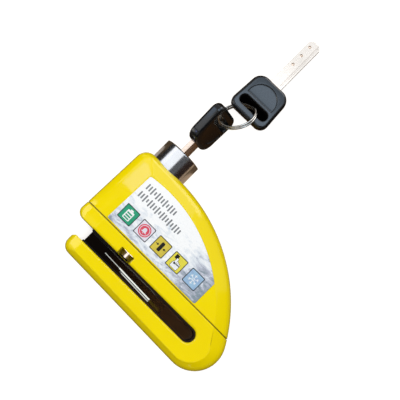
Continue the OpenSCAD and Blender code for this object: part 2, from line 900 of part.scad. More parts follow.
// Blade with its tang, dimples and groove, root at the origin, tip at -Y
module blade() {
    tip = 2;
    difference() {
        slab(-blade_t / 2, blade_t / 2)
            polygon([
                [blade_w / 2, 0], [tang_w / 2, 0], [tang_w / 2, tang_l], [-tang_w / 2, tang_l],
                [-tang_w / 2, 0], [-blade_w / 2, 0], [-blade_w / 2, tip - blade_l],
                [tip - blade_w / 2, -blade_l], [blade_w / 2 - tip, -blade_l], [blade_w / 2, tip - blade_l]
            ]);
        for (side = [-1, 1]) {
            for (y = [-16, -23, -30])
                translate([side * blade_w * 0.21, y, side * (blade_t / 2 + 0.5)])
                    sphere(r = 1);
            block([-side * blade_w * 0.28 - 0.4, -blade_l - over, side * blade_t / 2 - 0.4],
                [-side * blade_w * 0.28 + 0.4, -2, side * blade_t / 2 + 0.4]);
        }
    }
}

// Flat disc with rounded edges, the corner of a key bow
module bow_corner(x, y, r) {
    translate([x, y, 0])
        for (s = [[0, 1], [0.3, 0.3], [1, 0]])
            cylinder(h = bow_t - 2 * s[1] * bow_round, r = r - s[0] * bow_round, center = true, $fn = 32);
}

// Plastic key bow with its ring slot, thumb recess and tang pocket
module bow() {
    difference() {
        hull()
            for (side = [-1, 1]) {
                bow_corner(side * (bow_w / 2 - bow_taper - bow_corner_r), bow_corner_r, bow_corner_r);
                bow_corner(side * (bow_w / 2 - bow_end_r), bow_l - bow_end_r, bow_end_r);
            }
        slab(-bow_t, bow_t) {
            translate([-loop_half + loop_r, loop_y - loop_r])
                square([2 * (loop_half - loop_r), 2 * loop_r]);
            for (side = [-1, 1])
                translate([side * (loop_half - loop_r), loop_y])
                    circle(r = loop_r);
        }
        for (side = [0, 1])
            mirror([0, 0, side])
                slab(bow_t / 2 - thumb_d, bow_t)
                    intersection() {
                        translate([0, 12.5])
                            circle(r = 9.3);
                        translate([-bow_w, 0])
                            square([2 * bow_w, loop_y - loop_r - 1.6]);
                    }
        block([-tang_w / 2 - seat_fit, -over, -blade_t / 2 - seat_fit],
            [tang_w / 2 + seat_fit, tang_l + seat_fit, blade_t / 2 + seat_fit]);
    }
}

// Puts a key into the plug
module at_lock() {
    in_plug()
        translate([0, bow_y, 0])
            children();
}

// Puts a key where the spare lies, on the ring with its blade pointing away
module at_rest() {
    translate(spare_at)
        rotate([0, 0, spare_yaw])
            rotate([spare_pitch, 0, 0])
                rotate([0, spare_roll, 0])
                    rotate([0, 0, 180])
                        children();
}

module key_blade() {
    color("silver")
        at_lock()
            blade();
}

module key_bow() {
    color([0.15, 0.16, 0.18])
        at_lock()
            bow();
}

module spare_key_blade() {
    color("silver")
        at_rest()
            blade();
}

module spare_key_bow() {
    color([0.15, 0.16, 0.18])
        at_rest()
            bow();
}

// Split ring: one unbroken wire in two turns
module key_ring() {
    steps = ring_turns * ring_steps;
    angles = [for (i = [0:steps]) 360 * ring_turns * i / steps];
    outs = [for (a = angles) cos(a) * ring_e1 + sin(a) * ring_e2];
    path = [for (i = [0:steps])
        ring_c + ring_r * outs[i] + ring_pitch * (angles[i] / 360 - ring_turns / 2) * ring_e3];
    echo(key_ring_least_gap = least_gap(path, ring_wire));
    color("silver")
        tube(path, outs, [for (a = angles) ring_e3], ring_wire / 2, 6);
}

lock_body();
top_cover();
cover_gasket();
cover_screws();
front_label();
slot_liner();
wear_strip();
pin_bush();
jaw_bush();
barrel_seal();
latch_keeper();
return_spring();
lock_barrel();
pin_carrier();
carrier_screws();
lock_pin();
key_plug();
plug_wafers();
plug_cam();
latch_bolt();
alarm_case();
alarm_lid();
circuit_board();
board_parts();
shock_sensor();
siren_housing();
siren_disc();
button_cells();
cell_contacts();
trip_switch();
switch_plunger();
key_blade();
key_bow();
key_ring();
spare_key_blade();
spare_key_bow();
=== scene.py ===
"""Looks of a motorcycle brake disc lock that lies on its back with its keys beside it.

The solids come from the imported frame. This script gives each of them a finish, and models in full the pieces
whose look the solids only outline: the printed label, the key bows, the split ring and the return spring.
All lengths in the classes are millimetres in the part's frame: X along the slot, Y along the barrel, Z up.
"""

import logging
import math
from dataclasses import dataclass, field
from enum import Enum
from typing import Optional, Sequence, Union

import bpy
from mathutils import Matrix, Vector


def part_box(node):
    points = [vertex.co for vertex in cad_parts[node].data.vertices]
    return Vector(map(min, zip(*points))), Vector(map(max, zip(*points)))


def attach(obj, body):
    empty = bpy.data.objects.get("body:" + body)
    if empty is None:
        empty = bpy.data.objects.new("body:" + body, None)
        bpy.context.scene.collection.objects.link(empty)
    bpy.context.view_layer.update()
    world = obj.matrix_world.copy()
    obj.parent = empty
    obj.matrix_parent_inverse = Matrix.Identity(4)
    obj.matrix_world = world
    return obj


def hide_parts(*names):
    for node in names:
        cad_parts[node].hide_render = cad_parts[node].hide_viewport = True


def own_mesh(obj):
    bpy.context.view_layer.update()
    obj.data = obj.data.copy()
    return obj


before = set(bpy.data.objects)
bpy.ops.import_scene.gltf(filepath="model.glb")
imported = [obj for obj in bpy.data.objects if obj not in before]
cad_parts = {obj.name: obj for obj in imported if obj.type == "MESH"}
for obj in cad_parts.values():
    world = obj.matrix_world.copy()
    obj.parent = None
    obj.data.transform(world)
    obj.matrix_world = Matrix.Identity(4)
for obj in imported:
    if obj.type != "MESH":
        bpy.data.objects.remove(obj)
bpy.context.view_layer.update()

LOG = logging.getLogger("disc_lock")
MM = 0.001
Point = tuple[float, float]
Spot = tuple[float, float, float]
Rgba = tuple[float, float, float, float]
Tree = bpy.types.NodeTree
Socket = bpy.types.NodeSocket
Piece = bpy.types.Object
Value = Union[float, Sequence[float], bpy.types.Node, Socket]


def srgb(code: str) -> Rgba:
    """Turns an sRGB hex colour into linear light.

    Args:
        code: Six hex digits with a leading hash.

    Returns:
        Red, green, blue and an alpha of one.
    """
    parts = [int(code[i:i + 2], 16) / 255 for i in (1, 3, 5)]
    red, green, blue = [c / 12.92 if c <= 0.04045 else ((c + 0.055) / 1.055) ** 2.4 for c in parts]
    return red, green, blue, 1.0


def add_node(tree: Tree, kind: str, inputs: Optional[dict[Union[str, int], Value]] = None,
             stops: Sequence[tuple[float, str]] = (), **settings: object) -> bpy.types.Node:
    """Adds one node with its settings and links.

    Args:
        tree: Node tree that takes the node.
        kind: Blender's type name of the node, without the words ShaderNode.
        inputs: Value, socket or node, whose first output counts, for each input by name or number.
        stops: Places and hex colours of a colour ramp.
        **settings: Properties of the node itself.

    Returns:
        The new node.
    """
    node = tree.nodes.new(f"ShaderNode{kind}")
    for name, value in settings.items():
        setattr(node, name, value)
    for key, value in (inputs or {}).items():
        if isinstance(value, bpy.types.Node):
            value = value.outputs[0]
        if isinstance(value, Socket):
            tree.links.new(value, node.inputs[key])
        else:
            node.inputs[key].default_value = value
    for number, (place, code) in enumerate(stops):
        stop = node.color_ramp.elements[number] if number < 2 else node.color_ramp.elements.new(place)
        stop.position = place
        stop.color = srgb(code)
    return node


class Grain(Enum):
    """How a surface was made, which sets the direction of its fine pattern."""

    EVEN = (1.0, 1.0, 1.0)
    DRAWN_X = (0.04, 1.0, 1.0)
    DRAWN_Y = (1.0, 0.04, 1.0)
    DRAWN_Z = (1.0, 1.0, 0.04)


@dataclass(frozen=True)
class Finish:
    """A surface finish with a fine pattern in colour, gloss and relief."""

    name: str
    base: str
    shade: str
    roughness: Point
    grain_mm: float
    relief_mm: float = 0.0
    grain: Grain = Grain.EVEN
    blotch_mm: float = 14.0
    metallic: float = 0.0
    ior: float = 1.5
    coat: float = 0.0
    coat_roughness: float = 0.05
    specular: float = 0.5
    edge_mm: float = 0.0

    def place(self, tree: Tree, grain: Grain, size_mm: float) -> Socket:
        """Gives pattern coordinates in which one unit is the given size.

        Args:
            tree: Node tree of the material.
            grain: Stretch of the pattern.
            size_mm: Length of one unit.

        Returns:
            Vector socket for a texture.
        """
        where = add_node(tree, "TexCoord")
        scale = [1000.0 / size_mm * share for share in grain.value]
        inputs = {"Vector": where.outputs["Object"], "Scale": scale}
        return add_node(tree, "Mapping", inputs).outputs[0]

    def colour(self, tree: Tree) -> Socket:
        """Mixes the two colours in soft blotches with a little of the fine grain.

        Args:
            tree: Node tree of the material.

        Returns:
            Colour socket.
        """
        blotch = add_node(tree, "TexNoise", {
            "Vector": self.place(tree, Grain.EVEN, self.blotch_mm),
            "Scale": 1.0, "Detail": 3.0, "Roughness": 0.6})
        return add_node(tree, "ValToRGB", {0: blotch},
                        stops=[(0.3, self.base), (0.75, self.shade)]).outputs[0]

    def build(self) -> bpy.types.Material:
        """Makes the material, or returns it if it exists.

        Returns:
            The finished material.
        """
        made = bpy.data.materials.get(self.name)
        if made is not None:
            return made
        made = bpy.data.materials.new(self.name)
        made.use_nodes = True
        tree = made.node_tree
        shader = tree.nodes["Principled BSDF"]
        fine = add_node(tree, "TexNoise", {
            "Vector": self.place(tree, self.grain, self.grain_mm),
            "Scale": 1.0, "Detail": 4.0, "Roughness": 0.55})
        gloss = add_node(tree, "MapRange", {
            "Value": fine, "From Min": 0.3, "From Max": 0.7,
            "To Min": self.roughness[0], "To Max": self.roughness[1]})
        tree.links.new(self.colour(tree), shader.inputs["Base Color"])
        tree.links.new(gloss.outputs[0], shader.inputs["Roughness"])
        shader.inputs["Metallic"].default_value = self.metallic
        if not self.metallic:
            shader.inputs["IOR"].default_value = self.ior
            shader.inputs["Specular IOR Level"].default_value = self.specular
        shader.inputs["Coat Weight"].default_value = self.coat
        shader.inputs["Coat Roughness"].default_value = self.coat_roughness
        normal = None
        if self.edge_mm:
            normal = add_node(tree, "Bevel", {"Radius": self.edge_mm * MM}, samples=6).outputs[0]
        if self.relief_mm:
            relief = {"Height": fine, "Strength": 1.0, "Distance": self.relief_mm * MM}
            if normal is not None:
                relief["Normal"] = normal
            normal = add_node(tree, "Bump", relief).outputs[0]
        if normal is not None:
            tree.links.new(normal, shader.inputs["Normal"])
            tree.links.new(normal, shader.inputs["Coat Normal"])
        return made


@dataclass(frozen=True)
class CloudFilm(Finish):
    """Silver-white film printed with soft clouds that grow darker towards the seam."""

    deep: str = "#8797A3"
    lavender: str = "#B6BCCC"
    streak_mm: Spot = (9.091, 4.167, 10.0)
    ripple_mm: Spot = (2.381, 1.316, 10.0)
    ripple_share: float = 0.28
    rise_y: Point = (14.6, 50.0)
    rise: Point = (-0.05, 0.34)
    end_x: Point = (20.0, 46.0)
    end_drop: float = -0.33

    def colour(self, tree: Tree) -> Socket:
        """Lays cloud streaks along the label over a rise in lightness.

        Args:
            tree: Node tree of the material.

        Returns:
            Colour socket.
        """
        where = add_node(tree, "TexCoord").outputs["Object"]
        # The print's streaks run along the label, with finer ripples between them.
        streak, ripple = [add_node(tree, "TexNoise", {
            "Vector": add_node(tree, "Mapping", {"Vector": where, "Scale": [1000.0 / mm for mm in sizes]}),
            "Scale": 1.0, "Detail": detail, "Roughness": rough, "Distortion": bend})
            for sizes, detail, rough, bend in (
                (self.streak_mm, 6.0, 0.62, 0.9), (self.ripple_mm, 3.0, 0.7, 0.0))]
        split = add_node(tree, "SeparateXYZ", {0: where})
        rise = add_node(tree, "MapRange", {
            "Value": split.outputs[1], "From Min": self.rise_y[0] * MM, "From Max": self.rise_y[1] * MM,
            "To Min": self.rise[0], "To Max": self.rise[1]})
        end = add_node(tree, "MapRange", {
            "Value": split.outputs[0], "From Min": self.end_x[0] * MM, "From Max": self.end_x[1] * MM,
            "To Min": 0.0, "To Max": self.end_drop})
        soft = add_node(tree, "Math", {0: streak, 1: rise}, operation="ADD")
        both = add_node(tree, "Math", {0: soft, 1: end}, operation="ADD")
        fine = add_node(tree, "Math", {0: ripple, 1: self.ripple_share, 2: both}, operation="MULTIPLY_ADD")
        return add_node(tree, "ValToRGB", {0: fine}, stops=[
            (0.36, self.deep), (0.5, self.lavender), (0.62, self.shade), (0.8, self.base)]).outputs[0]


@dataclass(frozen=True)
class NylonWithPaintedLight(Finish):
    """Moulded lining with painted light and shade: black at the mouth of the slot, brown further in, standing
    in for the dim glow of the slot's inner end.
    """

    brown: str = "#2A1A0E"
    mouth_x: float = -20.0
    painted_brown_x: float = 12.0

    def colour(self, tree: Tree) -> Socket:
        """Mixes the tones along the slot, as painted light and shade.

        Args:
            tree: Node tree of the material.

        Returns:
            Colour socket.
        """
        where = add_node(tree, "TexCoord").outputs["Object"]
        along = add_node(tree, "SeparateXYZ", {0: where})
        rise = add_node(tree, "MapRange", {
            "Value": along, "From Min": self.mouth_x * MM, "From Max": self.painted_brown_x * MM})
        return add_node(tree, "ValToRGB", {0: rise}, stops=[
            (0.0, self.base), (0.6, self.shade), (1.0, self.brown)]).outputs[0]


# Die-cast zinc under a sprayed gloss enamel: an even, strong yellow with a wet sheen and a faint orange peel.
YELLOW_ENAMEL = Finish("sprayed_yellow_enamel", "#F6DF00", "#F2D800", (0.13, 0.19), 0.9, 0.002,
                       coat=0.7, coat_roughness=0.07, specular=0.06, edge_mm=1.2, blotch_mm=30.0)
# Copper, nickel and chrome plate over turned brass: a dark mirror with faint marks round the barrel.
CHROME_PLATE = Finish("chrome_plated_turned_brass", "#DADBDD", "#CFCFD1", (0.15, 0.2), 0.25, 0.0004,
                      Grain.DRAWN_X, metallic=1.0, edge_mm=0.15)
# Bright nickel over milled brass: warm white with fine marks along the blade.
NICKEL_BLADE = Finish("milled_nickel_plated_brass", "#E9D2BE", "#DCC6B2", (0.20, 0.34), 0.35, 0.0015,
                      Grain.DRAWN_Y, metallic=1.0, edge_mm=0.2)
# Nickel over spring wire: a bright drawn wire with soft streaks along it.
NICKEL_WIRE = Finish("nickel_plated_spring_wire", "#DAD5CC", "#B8B2A8", (0.2, 0.3), 0.3, 0.001,
                     metallic=1.0)
# Moulded ABS with a satin spark finish: near black, slate where it mirrors the light, with a fine grain.
SATIN_ABS = Finish("moulded_satin_abs", "#08090B", "#0D0F12", (0.16, 0.24), 0.45, 0.002,
                   ior=1.54, edge_mm=0.4, blotch_mm=20.0)
# Moulded polyamide in the slot: dull black, with a brown cast painted further in as the dim light at the
# slot's inner end.
LINER_NYLON = NylonWithPaintedLight("moulded_black_polyamide", "#0B0908", "#1C120A", (0.42, 0.58), 0.8, 0.006,
                           ior=1.53, specular=0.2)
# Ground hardened steel: bright with fine marks along the strip.
GROUND_STEEL = Finish("ground_hardened_steel", "#C9C6C0", "#A8A49D", (0.18, 0.30), 0.3, 0.001,
                      Grain.DRAWN_X, metallic=1.0, edge_mm=0.15)
# Turned hardened steel: grey with an oil-dark cast and faint marks round it.
TURNED_STEEL = Finish("turned_hardened_steel", "#9A9894", "#7F7D7A", (0.22, 0.36), 0.3, 0.0015,
                      Grain.DRAWN_X, metallic=1.0, edge_mm=0.15)
# Black oxide on cold-headed screws: a dull black that still mirrors a little.
BLACK_OXIDE = Finish("black_oxide_screw_steel", "#2B2B2D", "#1D1D1F", (0.36, 0.5), 0.3, 0.002, metallic=1.0)
# Moulded nitrile rubber of the seam: an olive brown, with no clear highlight.
SEAM_NITRILE = Finish("moulded_brown_nitrile_rubber", "#4A3A0C", "#5C4910", (0.6, 0.72), 0.5, 0.004,
                      ior=1.52)
# Moulded nitrile rubber: soft black with no clear highlight.
NITRILE = Finish("moulded_nitrile_rubber", "#141312", "#1C1A18", (0.68, 0.8), 0.5, 0.004, ior=1.52)
# Drawn spring steel: grey wire with streaks along it.
SPRING_STEEL = Finish("drawn_spring_steel", "#8C8B89", "#6E6D6B", (0.24, 0.36), 0.3, 0.001, metallic=1.0)
# Stamped brass: warm yellow metal with rolled streaks.
STAMPED_BRASS = Finish("stamped_brass", "#C9A15A", "#B58E4C", (0.24, 0.36), 0.4, 0.001, Grain.DRAWN_X,
                       metallic=1.0)
# Nickel over turned brass, for the plug: a warm grey mirror with faint marks.
PLUG_NICKEL = Finish("nickel_plated_turned_brass", "#C9C4B8", "#B5AFA2", (0.18, 0.3), 0.3, 0.001,
                     Grain.DRAWN_X, metallic=1.0, edge_mm=0.12)
# Moulded ABS of the siren box: dull black with a spark grain.
CASE_ABS = Finish("moulded_spark_grain_abs", "#1A1A1B", "#232324", (0.5, 0.62), 0.5, 0.006, ior=1.54)
# Glass laminate under green solder mask: semi-gloss with a faint weave.
SOLDER_MASK = Finish("solder_mask_on_glass_laminate", "#0E4A26", "#155C32", (0.3, 0.42), 0.5, 0.002,
                     ior=1.52)
# Moulded epoxy of the small parts: dull charcoal with no clear highlight.
EPOXY = Finish("moulded_component_epoxy", "#202022", "#2C2C2E", (0.5, 0.62), 0.4, 0.003, ior=1.55)
# Drawn aluminium can: pale grey metal with streaks along the draw.
DRAWN_CAN = Finish("drawn_aluminium_can", "#C4C6C8", "#AEB0B3", (0.26, 0.38), 0.4, 0.001, Grain.DRAWN_Z,
                   metallic=1.0)
# Nickel over pressed steel, for the cells and their strips: bright and a little warm.
CELL_STEEL = Finish("nickel_plated_cell_steel", "#C8C8C6", "#B2B2B0", (0.2, 0.32), 0.4, 0.001, metallic=1.0)
# Red acetal of the switch plunger: a waxy, even red.
RED_ACETAL = Finish("moulded_red_acetal", "#B7351D", "#A32C17", (0.34, 0.44), 0.5, 0.002, ior=1.48)
# Silver film with a printed sky under a clear gloss lacquer: white clouds over blue-grey streaks.
LABEL_FILM = CloudFilm("printed_silver_film", "#FAFCFD", "#DEE6EE", (0.24, 0.32), 0.6, 0.001, coat=0.35,
                       coat_roughness=0.12)


class Ink(Enum):
    """Printing inks of the label with their main colour and the shade that the screen leaves in it."""

    BORDER = ("#12181C", "#1E272C")
    GREEN = ("#10A67B", "#0C9A70")
    WHITE = ("#F6F8F8", "#E4EAEC")
    PAPER = ("#E9E6F0", "#D8D6E4")
    RED = ("#E2455F", "#D63A55")
    OCHRE = ("#DCC83C", "#CBB734")
    LEMON = ("#EBE03E", "#DCD02E")
    SKY = ("#9CC6E0", "#8FA9D2")
    BLACK = ("#16130E", "#231F18")
    GREY = ("#74777C", "#86898E")

    def finish(self) -> Finish:
        """Screen ink on film: flat and even, a little rougher than the bare film."""
        return Finish(f"screen_ink_{self.name.lower()}", self.value[0], self.value[1], (0.28, 0.38), 0.5,
                      blotch_mm=3.0, coat=0.3, coat_roughness=0.12)


def mesh_object(name: str, points: Sequence[Sequence[float]], faces: Sequence[Sequence[int]],
                materials: Sequence[bpy.types.Material], numbers: Sequence[int] = ()) -> Piece:
    """Makes a mesh object from millimetre points.

    Args:
        name: Name of the piece.
        points: Corners in millimetres.
        faces: Corner numbers of each face.
        materials: Materials of the piece.
        numbers: Material number of each face, or nothing for the first one.

    Returns:
        The linked object.
    """
    mesh = bpy.data.meshes.new(name)
    mesh.from_pydata([[c * MM for c in p] for p in points], [], [list(f) for f in faces])
    for material in materials:
        mesh.materials.append(material)
    for face, number in zip(mesh.polygons, numbers):
        face.material_index = number
    made = bpy.data.objects.new(name, mesh)
    bpy.context.scene.collection.objects.link(made)
    return made


def soften(piece: Piece, angle: float) -> None:
    """Shades a piece smooth, apart from edges sharper than an angle.

    Args:
        piece: Mesh object; its mesh keeps its points.
        angle: Sharpest smooth edge, in degrees.
    """
    piece.data.polygons.foreach_set("use_smooth", [True] * len(piece.data.polygons))
    weld = piece.modifiers.new("weld", "WELD")
    weld.merge_threshold = 0.002 * MM
    split = piece.modifiers.new("creases", "EDGE_SPLIT")
    split.split_angle = math.radians(angle)


def loft(name: str, rings: Sequence[Sequence[Sequence[float]]], finish: Finish) -> Piece:
    """Makes a closed solid through rings of equal length.

    Args:
        name: Name of the piece.
        rings: Rings of millimetre points from one end to the other.
        finish: Finish of the piece.

    Returns:
        The object.
    """
    count = len(rings[0])
    last = (len(rings) - 1) * count
    faces = [list(range(count))[::-1], [last + i for i in range(count)]]
    for j in range(len(rings) - 1):
        for i in range(count):
            k = (i + 1) % count
            faces.append([j * count + i, j * count + k, (j + 1) * count + k, (j + 1) * count + i])
    return mesh_object(name, [p for ring in rings for p in ring], faces, [finish.build()])


def carve(piece: Piece, cutters: Sequence[Piece]) -> None:
    """Cuts solids out of a piece and removes the cutters.

    Args:
        piece: Object that keeps the result in its own mesh.
        cutters: Closed objects to take away.
    """
    for cutter in cutters:
        cut = piece.modifiers.new("cut", "BOOLEAN")
        cut.operation = "DIFFERENCE"
        cut.solver = "EXACT"
        cut.object = cutter
    bpy.context.view_layer.update()
    result = bpy.data.meshes.new_from_object(piece.evaluated_get(bpy.context.evaluated_depsgraph_get()))
    piece.modifiers.clear()
    piece.data = result
    for cutter in cutters:
        bpy.data.objects.remove(cutter)


def arc(centre: Point, radius: float, start: float, end: float, steps: int) -> list[Point]:
    """Points of a circular arc.

    Args:
        centre: Middle of the circle.
        radius: Its radius.
        start: First angle in degrees.
        end: Last angle in degrees.
        steps: Number of segments.

    Returns:
        The points, ends included.
    """
    angles = [math.radians(start + (end - start) * i / steps) for i in range(steps + 1)]
    return [(centre[0] + radius * math.cos(a), centre[1] + radius * math.sin(a)) for a in angles]


def round_box(low: Point, high: Point, radius: float) -> list[Point]:
    """Outline of a rectangle with rounded corners, anticlockwise.

    Args:
        low: Lower left corner.
        high: Upper right corner.
        radius: Radius of the corners.

    Returns:
        The outline.
    """
    (x0, y0), (x1, y1) = low, high
    corners = [(x1 - radius, y0 + radius, -90), (x1 - radius, y1 - radius, 0),
               (x0 + radius, y1 - radius, 90), (x0 + radius, y0 + radius, 180)]
    return [p for x, y, a in corners for p in arc((x, y), radius, a, a + 90, 5)]


def hull_of_discs(discs: Sequence[Spot], inset: float, steps: int) -> list[Point]:
    """Outline round a set of discs, with the same number of points for every inset.

    Args:
        discs: Middle and radius of each disc.
        inset: Distance that the outline is drawn in.
        steps: Number of points.

    Returns:
        The outline, anticlockwise.
    """
    outline = []
    for i in range(steps):
        a = 2 * math.pi * (i + 0.5) / steps
        along = (math.cos(a), math.sin(a))
        x, y, r = max(discs, key=lambda d: d[0] * along[0] + d[1] * along[1] + d[2])
        outline.append((x + (r - inset) * along[0], y + (r - inset) * along[1]))
    return outline


def dress_node(node: str, finish: Finish, crease: float = 30.0) -> None:
    """Gives a solid of the frame its finish.

    Args:
        node: Name of the solid.
        finish: Its finish.
        crease: Sharpest edge that is shaded smooth, in degrees.
    """
    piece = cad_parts[node]
    piece.data.materials.clear()
    piece.data.materials.append(finish.build())
    soften(piece, crease)
    LOG.info("dressed %s with %s", node, finish.name)


@dataclass
class Castings:
    """The two painted castings with the gasket between them and the screws that join them."""

    crease: float = 21.0

    def dress(self) -> None:
        """Paints the castings and shades their rounds."""
        for node, finish in (("lock_body", YELLOW_ENAMEL), ("top_cover", YELLOW_ENAMEL),
                             ("cover_gasket", SEAM_NITRILE), ("cover_screws", BLACK_OXIDE)):
            dress_node(node, finish, self.crease)


@dataclass
class Works:
    """The metal and plastic pieces whose solids are complete as they are."""

    nodes: dict[Finish, tuple[str, ...]] = field(default_factory=lambda: {
        LINER_NYLON: ("slot_liner",), GROUND_STEEL: ("wear_strip", "lock_pin"), NITRILE: ("barrel_seal",),
        TURNED_STEEL: ("pin_bush", "jaw_bush", "latch_keeper", "pin_carrier", "plug_cam", "latch_bolt"),
        SPRING_STEEL: ("return_spring",), CHROME_PLATE: ("lock_barrel",), BLACK_OXIDE: ("carrier_screws",),
        PLUG_NICKEL: ("key_plug",), STAMPED_BRASS: ("plug_wafers", "siren_disc"),
        CASE_ABS: ("alarm_case", "alarm_lid", "siren_housing"), SOLDER_MASK: ("circuit_board",),
        EPOXY: ("board_parts", "trip_switch"), DRAWN_CAN: ("shock_sensor",), RED_ACETAL: ("switch_plunger",),
        CELL_STEEL: ("button_cells", "cell_contacts"), NICKEL_BLADE: ("key_blade", "spare_key_blade")})

    def dress(self) -> None:
        """Gives each solid its finish."""
        for finish, names in self.nodes.items():
            for node in names:
                dress_node(node, finish)


@dataclass
class FrontLabel:
    """Printed film in the recess of the front face, with tiles of simple pictograms."""

    back_centre: Point = (-7.2, -37.7)
    back_radius: float = 86.4
    end_x: float = 46.0
    low_y: float = 14.6
    tail_low: float = -22.35
    tail_lean: float = 2.0
    face_z: float = 17.65
    film: float = 0.4
    corner: float = 1.0
    ink_step: float = 0.012
    tile: float = 9.5
    tile_y: float = 19.1
    tile_x: tuple[float, ...] = (-19.5, -7.0, 5.7, 18.2, 31.3)
    border: float = 0.45
    bar_pitch: float = 1.9
    bar_wide: float = 0.9
    bar_half: float = 2.4
    points: list[Spot] = field(default_factory=list)
    faces: list[list[int]] = field(default_factory=list)
    inks: list[int] = field(default_factory=list)

    def tail_x(self, y: float) -> float:
        """X of the leaning tail edge at a height."""
        return self.tail_low + (y - self.low_y) * math.tan(math.radians(self.tail_lean))

    def outline(self, inset: float) -> list[Point]:
        """Outline of the film with rounded corners.

        Args:
            inset: Distance that the outline is drawn in.

        Returns:
            The outline, anticlockwise.
        """
        r, (cx, cy) = self.corner, self.back_centre
        low, end, reach = self.low_y + inset, self.end_x - inset, self.back_radius - inset
        a0 = math.degrees(math.acos((end - r - cx) / (reach - r)))
        top = cy + (reach - r) * math.sin(math.acos((self.tail_x(47.0) + inset + r - cx) / (reach - r)))
        left = self.tail_x(top) + inset
        a1 = math.degrees(math.acos((left + r - cx) / (reach - r)))
        side, turn = self.tail_x(low) + inset, 180 - self.tail_lean
        return (arc((end - r, low + r), r, -90, 0, 5)
                + arc((end - r, cy + (reach - r) * math.sin(math.radians(a0))), r, 0, a0, 6)
                + arc(self.back_centre, reach, a0, a1, 48)[1:-1]
                + arc((left + r, cy + (reach - r) * math.sin(math.radians(a1))), r, a1, turn, 6)
                + arc((side + r, low + r), r, turn, 270, 5))

    def lay(self, outline: Sequence[Point], ink: Ink, layer: int, hole: Sequence[Point] = ()) -> None:
        """Adds one printed patch.

        Args:
            outline: Outline of the patch.
            ink: Its ink.
            layer: Printing layer, from 1 up.
            hole: Inner outline of equal length for a frame, or nothing.
        """
        first, z = len(self.points), self.face_z + layer * self.ink_step
        self.points += [(x, y, z) for x, y in list(outline) + list(hole)]
        count, number = len(outline), list(Ink).index(ink)
        if hole:
            ends = [(first + i, first + (i + 1) % count) for i in range(count)]
            patch = [[a, b, count + b, count + a] for a, b in ends]
        else:
            patch = [[first + i for i in range(count)]]
        self.faces += patch
        self.inks += [number] * len(patch)

    def battery(self, c: Point) -> None:
        """Prints a battery with charge bars.

        Args:
            c: Middle of the tile.
        """
        x, y = c
        self.lay(round_box((x - 2.3, y - 3.2), (x + 2.3, y + 2.4), 0.5), Ink.WHITE, 3)
        self.lay(round_box((x - 1.0, y + 2.5), (x + 1.0, y + 3.3), 0.2), Ink.WHITE, 3)
        for step in range(3):
            low = y - 2.7 + 1.5 * step
            self.lay(round_box((x - 1.7, low), (x + 1.7, low + 0.9), 0.15), Ink.GREEN, 4)

    def bell(self, c: Point) -> None:
        """Prints a bell on a red disc.

        Args:
            c: Middle of the tile.
        """
        x, y = c
        self.lay(arc(c, 3.75, 0, 350, 35), Ink.RED, 3)
        self.lay(arc(c, 3.1, 0, 350, 35), Ink.PAPER, 4, hole=arc(c, 2.75, 0, 350, 35))
        mouth = [(x - 1.25, y - 0.6), (x - 1.9, y - 1.15), (x + 1.9, y - 1.15), (x + 1.25, y - 0.6)]
        self.lay(arc((x, y + 0.45), 1.15, 0, 180, 10) + mouth, Ink.PAPER, 5)
        self.lay(arc((x, y - 1.45), 0.42, 180, 360, 6), Ink.PAPER, 5)

    def pin_gauge(self, c: Point) -> None:
        """Prints a pin between two gauge arrows.

        Args:
            c: Middle of the tile.
        """
        x, y = c
        self.lay(round_box((x - 1.05, y - 2.9), (x + 1.05, y + 2.9), 0.7), Ink.BLACK, 3)
        for side in (-1, 1):
            tip, tail = x + side * 1.6, x + side * 3.5
            head = [(tip, y), (x + side * 2.6, y + 0.85), (x + side * 2.6, y + 0.25), (tail, y + 0.25),
                    (tail, y - 0.25), (x + side * 2.6, y - 0.25), (x + side * 2.6, y - 0.85)]
            self.lay(head[::-side], Ink.BLACK, 3)

    def pushing_hand(self, c: Point) -> None:
        """Prints a hand that pushes a barrel.

        Args:
            c: Middle of the tile.
        """
        x, y = c
        self.lay(round_box((x - 3.2, y + 1.3), (x - 1.0, y + 3.9), 0.3), Ink.BLACK, 3)
        fingers = [(x - 1.5, y - 1.6, x - 0.3, y + 2.2)]
        fingers += [(x - 0.2 + 0.9 * i, y - 1.2, x + 0.6 + 0.9 * i, y + 0.9 - 0.35 * i) for i in range(3)]
        palm = (x - 2.1, y - 3.6, x + 2.5, y - 0.5)
        for line, ink, layer in ((0.22, Ink.BLACK, 4), (0.0, Ink.WHITE, 5)):
            for x0, y0, x1, y1 in fingers + [palm]:
                self.lay(round_box((x0 - line, y0 - line), (x1 + line, y1 + line), 0.38 + line), ink, layer)

    def frost(self, c: Point) -> None:
        """Prints a pale six-armed star.

        Args:
            c: Middle of the tile.
        """
        arm = [(0.3, -0.16), (3.1, -0.16), (3.1, 0.16), (0.3, 0.16)]
        barbs = [[(1.7, 0.0), (2.5, 0.85 * s), (2.75, 0.62 * s), (2.05, 0.0)][::-s] for s in (1, -1)]
        for turn in range(6):
            a = math.radians(30 + 60 * turn)
            along, across = Vector((math.cos(a), math.sin(a))), Vector((-math.sin(a), math.cos(a)))
            for shape, layer in ((barbs[0], 4), (barbs[1], 4), (arm, 3)):
                self.lay([tuple(Vector(c) + along * s + across * w) for s, w in shape], Ink.WHITE, layer)

